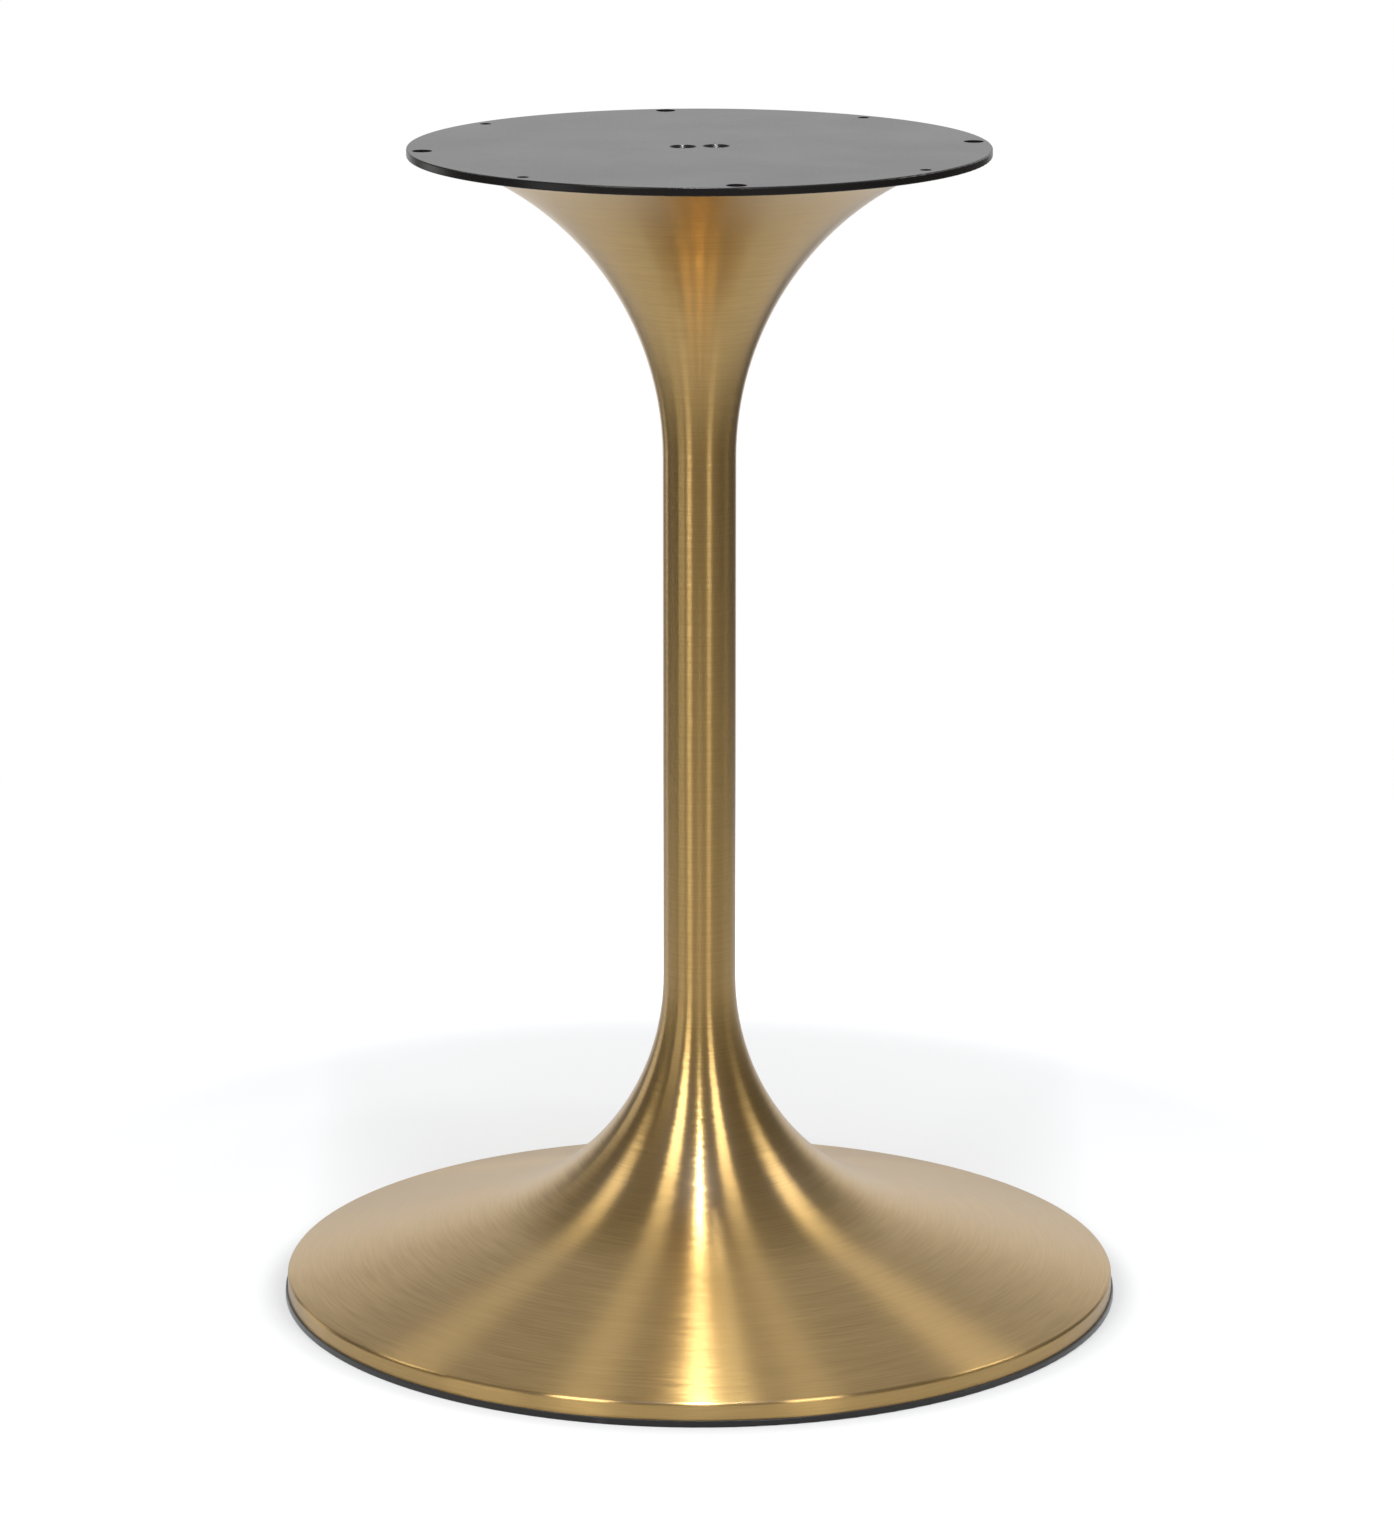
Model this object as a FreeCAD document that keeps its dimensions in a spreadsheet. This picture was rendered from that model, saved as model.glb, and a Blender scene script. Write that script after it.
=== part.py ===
"""Tulip table base: a spun pedestal shell clamped between a top plate and a ballast disc inside its foot."""
import math
import os

import FreeCAD
import Part
import Sketcher

DIMENSIONS = (
    ("overall_height", 715, "floor to the face that carries the table top"),
    ("plate_diameter", 350, "top plate"),
    ("plate_thickness", 5, "top plate"),
    ("plate_edge_round", 0.8, "top plate, both edges"),
    ("rim_hole_inset", 9, "plate edge to the centre of a rim hole"),
    ("rim_hole_count", 4, "rim holes of each size"),
    ("large_hole_diameter", 12, "rim holes on the axes"),
    ("small_hole_diameter", 7, "rim holes between them"),
    ("sink_diameter", 16.4, "mouth of a countersunk middle hole"),
    ("sink_hole_diameter", 9, "clearance hole below the countersink"),
    ("sink_angle", 90, "countersink and screw head, degrees"),
    ("sink_gap", 0.1, "screw head to countersink, along the radius"),
    ("screw_spacing", 20, "between the two middle screws"),
    ("screw_head_diameter", 14.2, "countersunk head"),
    ("screw_diameter", 8, "thread"),
    ("screw_length", 20, "over all"),
    ("screw_tip_chamfer", 1, "thread end"),
    ("screw_key_width", 5, "hexagon socket, across flats"),
    ("screw_key_depth", 2.6, "hexagon socket"),
    ("stem_diameter", 44.5, "outside of the stem"),
    ("shell_wall", 1.5, "sheet thickness of the shell"),
    ("mouth_diameter", 305.6, "outside of the upper flare at the plate"),
    ("mouth_flare_radius", 194, "outer face of the upper flare"),
    ("foot_diameter", 514, "outside of the skirt"),
    ("foot_flare_radius", 156.7, "outer face of the lower flare"),
    ("foot_slope", 16.5, "foot's cone from the horizontal, degrees"),
    ("rim_height", 12.3, "floor to the top of the straight skirt"),
    ("rim_inner_bend", 1, "inner bend radius of the foot's edge"),
    ("trim_thickness", 1.3, "legs and web of the rubber channel"),
    ("trim_height", 4, "rubber channel"),
    ("trim_edge_round", 0.5, "outer corners of the rubber channel"),
    ("trim_gap", 0.1, "channel leg to skirt"),
    ("ballast_inset", 32, "skirt to the disc's edge, along the radius"),
    ("ballast_thickness", 12, "disc"),
    ("ballast_edge", 5, "straight edge of the disc below its cone"),
    ("ballast_gap", 0.2, "disc's cone to the inside of the foot"),
    ("tube_gap", 0.75, "core tube to the inside of the stem"),
    ("tube_wall", 2, "core tube"),
    ("plug_gap", 0.1, "plug to the inside of the tube"),
    ("clamp_gap", 1, "upper plug to the underside of the plate"),
    ("flange_thickness", 6, "upper plug's head, above the tube's end"),
    ("spigot_length", 24, "upper plug inside the tube"),
    ("lower_plug_length", 30, "lower plug"),
    ("thread_gap", 0.1, "screw or bolt to its tapped hole, along the radius"),
    ("bolt_diameter", 12, "ballast bolt"),
    ("bolt_length", 35, "ballast bolt below its head"),
    ("bolt_tip_chamfer", 1.2, "thread end"),
    ("bolt_head_width", 18, "across flats"),
    ("bolt_head_height", 7.5, "ballast bolt"),
    ("bolt_face_diameter", 17, "flat round face left by the chamfer of the hexagon"),
    ("bolt_head_chamfer", 30, "corners of the hexagon, degrees"),
    ("bolt_hole_gap", 0.5, "bolt to the disc and the washer, along the radius"),
    ("washer_diameter", 24, "ballast washer"),
    ("washer_thickness", 2.5, "ballast washer"),
)

PLATE_UNDER = "(Dims.overall_height - Dims.plate_thickness)"
HOLE_CIRCLE_RADIUS = "(Dims.plate_diameter / 2 - Dims.rim_hole_inset)"
STEM_RADIUS = "(Dims.stem_diameter / 2)"
FOOT_RADIUS = "(Dims.foot_diameter / 2)"
RIM_BEND = "(Dims.rim_inner_bend + Dims.shell_wall)"
SLOT_OUTSIDE = f"({FOOT_RADIUS} + Dims.trim_gap)"
SLOT_INSIDE = f"({FOOT_RADIUS} - Dims.shell_wall - Dims.trim_gap)"
TRIM_OUTSIDE = f"({SLOT_OUTSIDE} + Dims.trim_thickness)"
TRIM_INSIDE = f"({SLOT_INSIDE} - Dims.trim_thickness)"
SCREW_RADIUS = "(Dims.screw_diameter / 2)"
SCREW_HEAD_RADIUS = "(Dims.screw_head_diameter / 2)"
SCREW_TOP = (
    f"(Dims.overall_height - (Dims.sink_diameter / 2 - {SCREW_HEAD_RADIUS} - Dims.sink_gap)"
    " / tan(Dims.sink_angle / 2))"
)
SCREW_NECK = f"({SCREW_TOP} - ({SCREW_HEAD_RADIUS} - {SCREW_RADIUS}) / tan(Dims.sink_angle / 2))"
SCREW_TIP = f"({SCREW_TOP} - Dims.screw_length)"
TUBE_RADIUS = f"({STEM_RADIUS} - Dims.shell_wall - Dims.tube_gap)"
TUBE_BORE_RADIUS = f"({TUBE_RADIUS} - Dims.tube_wall)"
PLUG_RADIUS = f"({TUBE_BORE_RADIUS} - Dims.plug_gap)"
PLUG_TOP = f"({PLATE_UNDER} - Dims.clamp_gap)"
TUBE_TOP = f"({PLUG_TOP} - Dims.flange_thickness)"
BALLAST_RADIUS = f"({FOOT_RADIUS} - Dims.ballast_inset)"
BALLAST_EDGE_TOP = (
    "(Dims.rim_height + (Dims.rim_inner_bend - Dims.ballast_gap) / cos(Dims.foot_slope)"
    f" + (Dims.ballast_inset - {RIM_BEND}) * tan(Dims.foot_slope))"
)
BALLAST_UNDER = f"({BALLAST_EDGE_TOP} - Dims.ballast_edge)"
BALLAST_TOP = f"({BALLAST_UNDER} + Dims.ballast_thickness)"
BALLAST_TOP_RADIUS = (
    f"({BALLAST_RADIUS} - (Dims.ballast_thickness - Dims.ballast_edge) / tan(Dims.foot_slope))"
)
BOLT_RADIUS = "(Dims.bolt_diameter / 2)"
BOLT_HOLE_RADIUS = f"({BOLT_RADIUS} + Dims.bolt_hole_gap)"
BOLT_SEAT = f"({BALLAST_UNDER} - Dims.washer_thickness)"
BOLT_UNDER = f"({BOLT_SEAT} - Dims.bolt_head_height)"
BOLT_TIP = f"({BOLT_SEAT} + Dims.bolt_length)"
BOLT_FACE_RADIUS = "(Dims.bolt_face_diameter / 2)"
BOLT_CHAMFER_REACH = "Dims.bolt_head_width"

V_AXIS, H_AXIS = range(-2, 0)
START, END, CENTRE = range(1, 4)
ORIGIN = (H_AXIS, START)
NORMAL = FreeCAD.Vector(0, 0, 1)

doc = FreeCAD.newDocument("tulip_table_base")
sheet = doc.addObject("Spreadsheet::Sheet", "Dims")
for row, (alias, size, note) in enumerate(DIMENSIONS, start=1):
    sheet.set(f"A{row}", alias)
    sheet.set(f"B{row}", str(size))
    sheet.set(f"C{row}", note)
    sheet.setAlias(f"B{row}", alias)
doc.recompute()


def value(expression):
    """The number that an expression over the sheet stands for."""
    return float(sheet.evalExpression(expression))


def origin_feature(body, role):
    return next(item for item in body.Origin.OriginFeatures if item.Role == role)


def new_body(name):
    body = doc.addObject("PartDesign::Body", name)
    body.Label = name
    return body


def new_sketch(body, role, across=None, height=None):
    """A sketch on one of the body's own planes, shifted across and lifted where expressions are given."""
    sketch = body.newObject("Sketcher::SketchObject", f"{body.Name}_sketch")
    sketch.AttachmentSupport = [(origin_feature(body, role), "")]
    sketch.MapMode = "FlatFace"
    if across is not None:
        sketch.setExpression("AttachmentOffset.Base.x", across)
    if height is not None:
        sketch.setExpression("AttachmentOffset.Base.z", height)
    return sketch


def bind(sketch, kind, elements, expression):
    """Add a constraint whose size follows an expression over the sheet."""
    number = value(expression)
    if kind == "Angle":
        number = math.radians(number)
    index = sketch.addConstraint(Sketcher.Constraint(kind, *elements, number))
    sketch.setExpression(f"Constraints[{index}]", expression)


def place(sketch, point, across, up):
    """Hold a sketch point at two expressions; one that is zero puts the point on that axis."""
    for kind, axis, expression in (("DistanceX", V_AXIS, across), ("DistanceY", H_AXIS, up)):
        if abs(value(expression)) < 1e-9:
            sketch.addConstraint(Sketcher.Constraint("PointOnObject", *point, axis))
        else:
            bind(sketch, kind, (*ORIGIN, *point), expression)


def outline(sketch, corners):
    """Draw a closed outline of straight lines through corners given as pairs of expressions."""
    points = [FreeCAD.Vector(value(across), value(up), 0) for across, up in corners]
    ends = points[1:] + points[:1]
    lines = [sketch.addGeometry(Part.LineSegment(start, end)) for start, end in zip(points, ends)]
    for line, following, corner in zip(lines, lines[1:] + lines[:1], corners[1:] + corners[:1]):
        sketch.addConstraint(Sketcher.Constraint("Coincident", line, END, following, START))
        place(sketch, (following, START), *corner)


def circle(sketch, across, up, radius):
    centre = FreeCAD.Vector(value(across), value(up), 0)
    index = sketch.addGeometry(Part.Circle(centre, NORMAL, value(radius)))
    place(sketch, (index, CENTRE), across, up)
    bind(sketch, "Radius", (index,), radius)


def hexagon(sketch, across_flats):
    """Draw a hexagon about the sketch origin with two of its corners on the horizontal axis."""
    reach = f"({across_flats} / sqrt(3))"
    outline(sketch, [(f"{reach} * cos({turn})", f"{reach} * sin({turn})") for turn in range(0, 360, 60)])


def revolve(body, sketch, kind="PartDesign::Revolution"):
    feature = body.newObject(kind, f"{body.Name}_revolve")
    feature.Profile = sketch
    feature.ReferenceAxis = (sketch, ["V_Axis"])
    feature.Angle = 360
    return feature


def turned(name, corners):
    """A body turned about the upright axis from one outline of corners."""
    body = new_body(name)
    sketch = new_sketch(body, "XZ_Plane")
    outline(sketch, corners)
    revolve(body, sketch)
    return body


def pad(body, sketch, length):
    feature = body.newObject("PartDesign::Pad", f"{body.Name}_pad")
    feature.Profile = sketch
    feature.setExpression("Length", length)
    return feature


def pocket(body, sketch, depth=None):
    """Cut a sketch downwards, through everything where no depth is given."""
    feature = body.newObject("PartDesign::Pocket", f"{body.Name}_pocket")
    feature.Profile = sketch
    if depth is None:
        feature.Type = "ThroughAll"
    else:
        feature.setExpression("Length", depth)
    return feature


def around(body, feature, count):
    """Repeat a feature evenly about the upright axis."""
    pattern = body.newObject("PartDesign::PolarPattern", f"{body.Name}_pattern")
    pattern.Originals = [feature]
    pattern.Axis = (origin_feature(body, "Z_Axis"), [""])
    pattern.Angle = 360
    pattern.setExpression("Occurrences", count)
    body.Tip = pattern


def round_edges(body, reaches, size):
    """Round the body's level circular edges whose radius is one of the reaches."""
    doc.recompute()
    base = body.Tip
    radii = [value(reach) for reach in reaches]
    names = [
        f"Edge{number}"
        for number, edge in enumerate(base.Shape.Edges, start=1)
        if edge.Curve.TypeId == "Part::GeomCircle"
        and any(abs(edge.Curve.Radius - radius) < 1e-6 for radius in radii)
    ]
    fillet = body.newObject("PartDesign::Fillet", f"{body.Name}_fillet")
    fillet.Base = (base, names)
    fillet.setExpression("Radius", size)


def shell_outline(sketch):
    """Draw the shell's outside from the skirt up to the mouth, closed along the upright axis."""
    slope = math.radians(value("Dims.foot_slope"))
    foot = value(FOOT_RADIUS)
    stem = value(STEM_RADIUS)
    mouth = value("Dims.mouth_diameter / 2")
    bend = value(RIM_BEND)
    foot_flare = value("Dims.foot_flare_radius")
    mouth_flare = value("Dims.mouth_flare_radius")
    skirt_under = value("Dims.trim_thickness")
    skirt_top = value("Dims.rim_height")
    top = value(PLATE_UNDER)
    cone_low = FreeCAD.Vector(
        foot - bend + bend * math.sin(slope), skirt_top + bend * math.cos(slope), 0
    )
    reach = stem + foot_flare * (1 - math.sin(slope))
    cone_high = FreeCAD.Vector(reach, cone_low.y + (cone_low.x - reach) * math.tan(slope), 0)
    stem_low = FreeCAD.Vector(stem, cone_high.y + foot_flare * math.cos(slope), 0)
    turn = math.acos(1 - (mouth - stem) / mouth_flare)
    stem_high = FreeCAD.Vector(stem, top - mouth_flare * math.sin(turn), 0)
    axis_low = FreeCAD.Vector(0, skirt_under, 0)
    axis_high = FreeCAD.Vector(0, top, 0)
    skirt_low = FreeCAD.Vector(foot, skirt_under, 0)
    skirt_high = FreeCAD.Vector(foot, skirt_top, 0)
    mouth_edge = FreeCAD.Vector(mouth, top, 0)

    def line(start, end):
        return sketch.addGeometry(Part.LineSegment(start, end))

    def arc(across, up, radius, first, last):
        whole = Part.Circle(FreeCAD.Vector(across, up, 0), NORMAL, radius)
        return sketch.addGeometry(Part.ArcOfCircle(whole, first, last))

    under = line(axis_low, skirt_low)
    skirt = line(skirt_low, skirt_high)
    edge = arc(foot - bend, skirt_top, bend, 0, math.pi / 2 - slope)
    cone = line(cone_low, cone_high)
    lower = arc(stem + foot_flare, stem_low.y, foot_flare, math.pi, 1.5 * math.pi - slope)
    shaft = line(stem_low, stem_high)
    upper = arc(stem + mouth_flare, stem_high.y, mouth_flare, math.pi - turn, math.pi)
    cover = line(mouth_edge, axis_high)
    axis = line(axis_high, axis_low)
    for kind, first, second in (
        ("Coincident", (under, END), (skirt, START)),
        ("Tangent", (skirt, END), (edge, START)),
        ("Tangent", (edge, END), (cone, START)),
        ("Tangent", (cone, END), (lower, END)),
        ("Tangent", (lower, START), (shaft, START)),
        ("Tangent", (shaft, END), (upper, END)),
        ("Coincident", (upper, START), (cover, START)),
        ("Coincident", (cover, END), (axis, START)),
        ("Coincident", (axis, END), (under, START)),
    ):
        sketch.addConstraint(Sketcher.Constraint(kind, *first, *second))
    for level in (under, cover):
        sketch.addConstraint(Sketcher.Constraint("Horizontal", level))
    for upright in (skirt, shaft):
        sketch.addConstraint(Sketcher.Constraint("Vertical", upright))
    for end in (START, END):
        sketch.addConstraint(Sketcher.Constraint("PointOnObject", axis, end, V_AXIS))
    place(sketch, (skirt, START), FOOT_RADIUS, "Dims.trim_thickness")
    place(sketch, (cover, START), "Dims.mouth_diameter / 2", PLATE_UNDER)
    bind(sketch, "DistanceY", (*ORIGIN, skirt, END), "Dims.rim_height")
    bind(sketch, "DistanceX", (*ORIGIN, shaft, START), STEM_RADIUS)
    bind(sketch, "Angle", (cone,), "180 - Dims.foot_slope")
    bind(sketch, "Radius", (edge,), RIM_BEND)
    bind(sketch, "Radius", (lower,), "Dims.foot_flare_radius")
    bind(sketch, "Radius", (upper,), "Dims.mouth_flare_radius")


shell = new_body("pedestal_shell")
shell_profile = new_sketch(shell, "XZ_Plane")
shell_outline(shell_profile)
shell_solid = revolve(shell, shell_profile)
doc.recompute()
shell_skin = shell.newObject("PartDesign::Thickness", "shell_skin")
shell_skin.Base = (
    shell_solid,
    [
        f"Face{number}"
        for number, face in enumerate(shell_solid.Shape.Faces, start=1)
        if face.Surface.TypeId == "Part::GeomPlane"
    ],
)
shell_skin.Reversed = True
shell_skin.Join = "Intersection"
shell_skin.setExpression("Value", "Dims.shell_wall")

plate = new_body("top_plate")
plate_disc = new_sketch(plate, "XY_Plane", height=PLATE_UNDER)
circle(plate_disc, "0", "0", "Dims.plate_diameter / 2")
pad(plate, plate_disc, "Dims.plate_thickness")
round_edges(plate, ["Dims.plate_diameter / 2"], "Dims.plate_edge_round")
for hole_diameter, turn in (
    ("Dims.large_hole_diameter", "0"),
    ("Dims.small_hole_diameter", "180 / Dims.rim_hole_count"),
):
    rim_hole = new_sketch(plate, "XY_Plane", height="Dims.overall_height")
    circle(
        rim_hole,
        f"{HOLE_CIRCLE_RADIUS} * cos({turn})",
        f"{HOLE_CIRCLE_RADIUS} * sin({turn})",
        f"{hole_diameter} / 2",
    )
    around(plate, pocket(plate, rim_hole), "Dims.rim_hole_count")
sink_centres = new_sketch(plate, "XY_Plane", height="Dims.overall_height")
for side in ("-", ""):
    circle(sink_centres, f"{side}Dims.screw_spacing / 2", "0", "Dims.sink_hole_diameter / 2")
doc.recompute()
sinks = plate.newObject("PartDesign::Hole", "plate_sinks")
sinks.Profile = sink_centres
sinks.ThreadType = "None"
sinks.DepthType = "ThroughAll"
sinks.HoleCutType = "Countersink"
sinks.HoleCutCustomValues = True
sinks.setExpression("Diameter", "Dims.sink_hole_diameter")
sinks.setExpression("HoleCutDiameter", "Dims.sink_diameter")
sinks.setExpression("HoleCutCountersinkAngle", "Dims.sink_angle")

screws = new_body("plate_screws")
screws.AllowCompound = True
screw_profile = new_sketch(screws, "XZ_Plane", across="-Dims.screw_spacing / 2")
outline(
    screw_profile,
    [
        ("0", SCREW_TIP),
        (f"{SCREW_RADIUS} - Dims.screw_tip_chamfer", SCREW_TIP),
        (SCREW_RADIUS, f"{SCREW_TIP} + Dims.screw_tip_chamfer"),
        (SCREW_RADIUS, SCREW_NECK),
        (SCREW_HEAD_RADIUS, SCREW_TOP),
        ("0", SCREW_TOP),
    ],
)
screw_turning = revolve(screws, screw_profile)
screw_key = new_sketch(screws, "XY_Plane", across="-Dims.screw_spacing / 2", height=SCREW_TOP)
hexagon(screw_key, "Dims.screw_key_width")
screw_socket = pocket(screws, screw_key, "Dims.screw_key_depth")
screw_pair = screws.newObject("PartDesign::LinearPattern", "screw_pair")
screw_pair.Originals = [screw_turning, screw_socket]
screw_pair.Direction = (origin_feature(screws, "X_Axis"), [""])
screw_pair.Occurrences = 2
screw_pair.setExpression("Length", "Dims.screw_spacing")
screws.Tip = screw_pair

upper_plug = turned(
    "upper_plug",
    [
        ("0", f"{TUBE_TOP} - Dims.spigot_length"),
        (PLUG_RADIUS, f"{TUBE_TOP} - Dims.spigot_length"),
        (PLUG_RADIUS, TUBE_TOP),
        (TUBE_RADIUS, TUBE_TOP),
        (TUBE_RADIUS, PLUG_TOP),
        ("0", PLUG_TOP),
    ],
)
plug_threads = new_sketch(upper_plug, "XY_Plane", height=PLUG_TOP)
for side in ("-", ""):
    circle(plug_threads, f"{side}Dims.screw_spacing / 2", "0", f"{SCREW_RADIUS} + Dims.thread_gap")
pocket(upper_plug, plug_threads)

turned(
    "core_tube",
    [
        (TUBE_BORE_RADIUS, BALLAST_TOP),
        (TUBE_RADIUS, BALLAST_TOP),
        (TUBE_RADIUS, TUBE_TOP),
        (TUBE_BORE_RADIUS, TUBE_TOP),
    ],
)

turned(
    "lower_plug",
    [
        (f"{BOLT_RADIUS} + Dims.thread_gap", BALLAST_TOP),
        (PLUG_RADIUS, BALLAST_TOP),
        (PLUG_RADIUS, f"{BALLAST_TOP} + Dims.lower_plug_length"),
        (f"{BOLT_RADIUS} + Dims.thread_gap", f"{BALLAST_TOP} + Dims.lower_plug_length"),
    ],
)

turned(
    "ballast_disc",
    [
        (BOLT_HOLE_RADIUS, BALLAST_UNDER),
        (BALLAST_RADIUS, BALLAST_UNDER),
        (BALLAST_RADIUS, BALLAST_EDGE_TOP),
        (BALLAST_TOP_RADIUS, BALLAST_TOP),
        (BOLT_HOLE_RADIUS, BALLAST_TOP),
    ],
)

turned(
    "ballast_washer",
    [
        (BOLT_HOLE_RADIUS, BOLT_SEAT),
        ("Dims.washer_diameter / 2", BOLT_SEAT),
        ("Dims.washer_diameter / 2", BALLAST_UNDER),
        (BOLT_HOLE_RADIUS, BALLAST_UNDER),
    ],
)

bolt = new_body("ballast_bolt")
bolt_head = new_sketch(bolt, "XY_Plane", height=BOLT_UNDER)
hexagon(bolt_head, "Dims.bolt_head_width")
pad(bolt, bolt_head, "Dims.bolt_head_height")
head_corners = new_sketch(bolt, "XZ_Plane")
outline(
    head_corners,
    [
        (BOLT_FACE_RADIUS, BOLT_UNDER),
        (BOLT_CHAMFER_REACH, BOLT_UNDER),
        (
            BOLT_CHAMFER_REACH,
            f"{BOLT_UNDER} + ({BOLT_CHAMFER_REACH} - {BOLT_FACE_RADIUS}) * tan(Dims.bolt_head_chamfer)",
        ),
    ],
)
revolve(bolt, head_corners, "PartDesign::Groove")
bolt_shank = new_sketch(bolt, "XZ_Plane")
outline(
    bolt_shank,
    [
        ("0", BOLT_SEAT),
        (BOLT_RADIUS, BOLT_SEAT),
        (BOLT_RADIUS, f"{BOLT_TIP} - Dims.bolt_tip_chamfer"),
        (f"{BOLT_RADIUS} - Dims.bolt_tip_chamfer", BOLT_TIP),
        ("0", BOLT_TIP),
    ],
)
revolve(bolt, bolt_shank)

trim = turned(
    "edge_trim",
    [
        (TRIM_INSIDE, "0"),
        (TRIM_OUTSIDE, "0"),
        (TRIM_OUTSIDE, "Dims.trim_height"),
        (SLOT_OUTSIDE, "Dims.trim_height"),
        (SLOT_OUTSIDE, "Dims.trim_thickness"),
        (SLOT_INSIDE, "Dims.trim_thickness"),
        (SLOT_INSIDE, "Dims.trim_height"),
        (TRIM_INSIDE, "Dims.trim_height"),
    ],
)
round_edges(trim, [TRIM_INSIDE, TRIM_OUTSIDE], "Dims.trim_edge_round")

doc.recompute()
for item in doc.Objects:
    if "Invalid" in item.State or "Error" in item.State:
        raise RuntimeError(f"{item.Label} did not compute: {item.State}")
bodies = [item for item in doc.Objects if item.TypeId == "PartDesign::Body"]
for body in bodies:
    if body.Shape.isNull() or not body.Shape.isValid():
        raise RuntimeError(f"{body.Label} has no valid shape")

os.makedirs("parts", exist_ok=True)
for body in bodies:
    body.Shape.exportStep(f"parts/{body.Label}.step")
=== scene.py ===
"""Tulip table base, laid out as a Blender add-on and run once as a script.

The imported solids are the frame. The pedestal is spun again here as one smooth sheet with a
brushed brass finish, and the two plate screws are modelled again, seated deeper in the plate.
The other solids keep their shapes and only get their finishes.
"""

import math
from typing import NamedTuple

import bpy
from mathutils import Euler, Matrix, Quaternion, Vector


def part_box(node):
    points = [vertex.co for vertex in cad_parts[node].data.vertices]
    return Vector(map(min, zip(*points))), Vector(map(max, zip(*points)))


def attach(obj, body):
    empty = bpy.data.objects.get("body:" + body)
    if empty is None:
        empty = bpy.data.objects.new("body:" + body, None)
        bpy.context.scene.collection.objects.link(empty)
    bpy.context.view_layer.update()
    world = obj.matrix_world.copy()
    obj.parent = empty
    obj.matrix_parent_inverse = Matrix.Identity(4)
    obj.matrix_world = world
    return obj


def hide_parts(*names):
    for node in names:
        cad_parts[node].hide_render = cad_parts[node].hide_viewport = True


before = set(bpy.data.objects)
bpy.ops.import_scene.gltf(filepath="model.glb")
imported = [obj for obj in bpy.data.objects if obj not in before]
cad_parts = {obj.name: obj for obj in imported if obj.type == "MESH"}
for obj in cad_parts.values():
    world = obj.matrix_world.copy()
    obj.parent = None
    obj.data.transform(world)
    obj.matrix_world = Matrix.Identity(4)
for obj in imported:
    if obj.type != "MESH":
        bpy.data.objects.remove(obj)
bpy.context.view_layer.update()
SHELL_LOW, SHELL_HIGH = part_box("pedestal_shell")
PLATE_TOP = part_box("top_plate")[1].z
SCREW_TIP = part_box("plate_screws")[0].z

bl_info = {
    "name": "Tulip Table Base",
    "version": (1, 0, 0),
    "blender": (4, 5, 0),
    "location": "3D View > Sidebar > Tulip Base",
    "description": "Models the pedestal and the plate screws, finishes every part and sets up the studio",
    "category": "Object",
}

MM = 0.001
UP = (0.0, 0.0, 1.0)

# Meshes: when points are one, when a face stands upright or looks down, and what counts as an edge
WELD_DISTANCE = 0.01 * MM
UPRIGHT_NORMAL = 0.01
DOWN_NORMAL = -0.99
SHELL_SMOOTH_ANGLE = math.radians(40)
SCREW_SMOOTH_ANGLE = math.radians(30)
SCREW_BREAK_ANGLE = math.radians(70)

# Finishes: the middle of a noise, the span that holds most of it, and the weights of a colour's mean
NOISE_MIDDLE = 0.5
NOISE_SPAN = (0.3, 0.7)
COLOUR_MEAN = (0.333, 0.333, 0.333)


class PedestalSizes(bpy.types.PropertyGroup):
    """Outline of the spun pedestal, measured on its outer face."""

    foot_radius: bpy.props.FloatProperty(
        name="Foot radius",
        description="Outside of the skirt round the foot",
        default=SHELL_HIGH.x,
        unit="LENGTH",
    )
    skirt_bottom: bpy.props.FloatProperty(
        name="Skirt bottom",
        description="Floor to the lower edge of the skirt, inside the rubber trim",
        default=SHELL_LOW.z,
        unit="LENGTH",
    )
    mouth_height: bpy.props.FloatProperty(
        name="Mouth height",
        description="Floor to the underside of the top plate",
        default=SHELL_HIGH.z,
        unit="LENGTH",
    )
    rim_height: bpy.props.FloatProperty(
        name="Rim height",
        description="Floor to the top of the straight skirt",
        default=12.3 * MM,
        unit="LENGTH",
    )
    rim_bend: bpy.props.FloatProperty(
        name="Rim bend",
        description="Outer bend radius between the skirt and the foot's cone",
        default=2.5 * MM,
        unit="LENGTH",
    )
    foot_slope: bpy.props.FloatProperty(
        name="Foot slope",
        description="Foot's cone from the horizontal",
        default=math.radians(16.5),
        subtype="ANGLE",
    )
    foot_flare: bpy.props.FloatProperty(
        name="Foot flare",
        description="Radius of the curve from the foot's cone to the stem",
        default=156.7 * MM,
        unit="LENGTH",
    )
    stem_radius: bpy.props.FloatProperty(
        name="Stem radius",
        description="Outside of the straight stem",
        default=22.25 * MM,
        unit="LENGTH",
    )
    mouth_flare: bpy.props.FloatProperty(
        name="Mouth flare",
        description="Radius of the curve from the stem to the mouth",
        default=194 * MM,
        unit="LENGTH",
    )
    mouth_radius: bpy.props.FloatProperty(
        name="Mouth radius",
        description="Outside of the upper flare at the plate",
        default=152.8 * MM,
        unit="LENGTH",
    )
    wall: bpy.props.FloatProperty(
        name="Wall",
        description="Sheet thickness of the pedestal",
        default=1.5 * MM,
        unit="LENGTH",
    )
    turns: bpy.props.IntProperty(
        name="Facets round",
        description="Facets round the axis",
        default=216,
        min=24,
    )


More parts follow.
